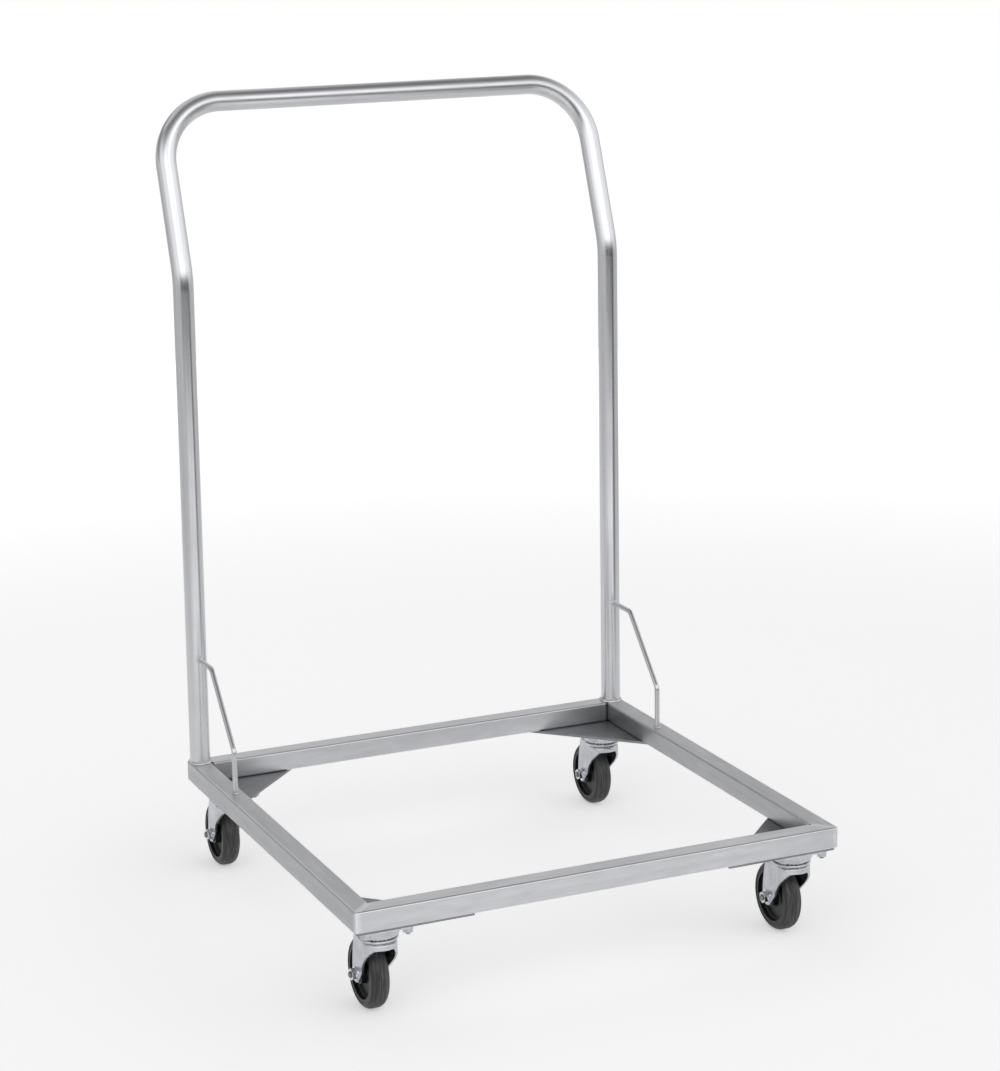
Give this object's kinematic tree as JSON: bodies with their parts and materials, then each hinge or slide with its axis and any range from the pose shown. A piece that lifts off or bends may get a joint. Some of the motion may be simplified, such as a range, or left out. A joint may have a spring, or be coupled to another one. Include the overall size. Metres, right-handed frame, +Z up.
{
  "type": "rack dolly",
  "caption": "Square tube rack dolly on four swivel casters, with corner gussets, brace rods and a tall push handle that leans back at the top.",
  "frame": {"origin": "on the floor, midway between the two sides and midway between the foremost and rearmost points", "axes": "+Z up; +X to the right of someone who faces the dolly's open front; +Y towards the handle"},
  "size_m": [0.6096, 0.6616, 0.9811],
  "materials": {
    "frame_steel": "satin, brushed along each rail",
    "gusset_steel": "mill finish sheet",
    "handle_steel": "satin, polished round the tube",
    "rod_steel": "smooth drawn rod",
    "weld_metal": "cleaned weld bead",
    "zinc_plate": "bright zinc on pressed sheet",
    "zinc_ring": "bright zinc on rolled sheet",
    "zinc_fasteners": "bright zinc",
    "ball_steel": "polished, lightly greased",
    "wheel_plastic": "moulded, dull",
    "tread_rubber": "hard rubber, lightly worn tread"
  },
  "bodies": {
    "base_and_handle": {"front_rail": "frame_steel", "rear_rail": "frame_steel", "left_rail": "frame_steel", "right_rail": "frame_steel", "front_left_gusset": "gusset_steel", "front_right_gusset": "gusset_steel", "rear_left_gusset": "gusset_steel", "rear_right_gusset": "gusset_steel", "handle_tube": "handle_steel", "handle_welds": "weld_metal", "left_brace_rod": "rod_steel", "right_brace_rod": "rod_steel", "brace_welds": "weld_metal", "plate_studs": "zinc_fasteners", "plate_nuts": "zinc_fasteners", "front_left_caster_plate": "zinc_plate", "front_left_king_rivet": "zinc_fasteners", "front_left_lower_race": "zinc_ring", "front_right_caster_plate": "zinc_plate", "front_right_king_rivet": "zinc_fasteners", "front_right_lower_race": "zinc_ring", "rear_left_caster_plate": "zinc_plate", "rear_left_king_rivet": "zinc_fasteners", "rear_left_lower_race": "zinc_ring", "rear_right_caster_plate": "zinc_plate", "rear_right_king_rivet": "zinc_fasteners", "rear_right_lower_race": "zinc_ring"},
    "front_left_caster": {"front_left_race_ring": "zinc_ring", "front_left_fork": "zinc_plate", "front_left_balls": "ball_steel", "front_left_axle_bolt": "zinc_fasteners", "front_left_axle_nut": "zinc_fasteners", "front_left_axle_sleeve": "zinc_ring"},
    "front_left_wheel": {"front_left_wheel_core": "wheel_plastic", "front_left_tyre": "tread_rubber"},
    "front_right_caster": {"front_right_race_ring": "zinc_ring", "front_right_fork": "zinc_plate", "front_right_balls": "ball_steel", "front_right_axle_bolt": "zinc_fasteners", "front_right_axle_nut": "zinc_fasteners", "front_right_axle_sleeve": "zinc_ring"},
    "front_right_wheel": {"front_right_wheel_core": "wheel_plastic", "front_right_tyre": "tread_rubber"},
    "rear_left_caster": {"rear_left_race_ring": "zinc_ring", "rear_left_fork": "zinc_plate", "rear_left_balls": "ball_steel", "rear_left_axle_bolt": "zinc_fasteners", "rear_left_axle_nut": "zinc_fasteners", "rear_left_axle_sleeve": "zinc_ring"},
    "rear_left_wheel": {"rear_left_wheel_core": "wheel_plastic", "rear_left_tyre": "tread_rubber"},
    "rear_right_caster": {"rear_right_race_ring": "zinc_ring", "rear_right_fork": "zinc_plate", "rear_right_balls": "ball_steel", "rear_right_axle_bolt": "zinc_fasteners", "rear_right_axle_nut": "zinc_fasteners", "rear_right_axle_sleeve": "zinc_ring"},
    "rear_right_wheel": {"rear_right_wheel_core": "wheel_plastic", "rear_right_tyre": "tread_rubber"}
  },
  "joints": [
    {"name": "front_left_swivel", "type": "hinge", "parent": "base_and_handle", "child": "front_left_caster", "pos_m": [-0.2632, -0.29141, 0.0896], "axis": [0, 0, 1], "continuous": true},
    {"name": "front_left_wheel_roll", "type": "hinge", "parent": "front_left_caster", "child": "front_left_wheel", "pos_m": [-0.2632, -0.26091, 0.041], "axis": [1, 0, 0], "continuous": true},
    {"name": "front_right_swivel", "type": "hinge", "parent": "base_and_handle", "child": "front_right_caster", "pos_m": [0.2632, -0.29141, 0.0896], "axis": [0, 0, 1], "continuous": true},
    {"name": "front_right_wheel_roll", "type": "hinge", "parent": "front_right_caster", "child": "front_right_wheel", "pos_m": [0.2632, -0.26091, 0.041], "axis": [1, 0, 0], "continuous": true},
    {"name": "rear_left_swivel", "type": "hinge", "parent": "base_and_handle", "child": "rear_left_caster", "pos_m": [-0.2632, 0.21399, 0.0896], "axis": [0, 0, 1], "continuous": true},
    {"name": "rear_left_wheel_roll", "type": "hinge", "parent": "rear_left_caster", "child": "rear_left_wheel", "pos_m": [-0.2632, 0.24449, 0.041], "axis": [1, 0, 0], "continuous": true},
    {"name": "rear_right_swivel", "type": "hinge", "parent": "base_and_handle", "child": "rear_right_caster", "pos_m": [0.2632, 0.21399, 0.0896], "axis": [0, 0, 1], "continuous": true},
    {"name": "rear_right_wheel_roll", "type": "hinge", "parent": "rear_right_caster", "child": "rear_right_wheel", "pos_m": [0.2632, 0.24449, 0.041], "axis": [1, 0, 0], "continuous": true}
  ]
}
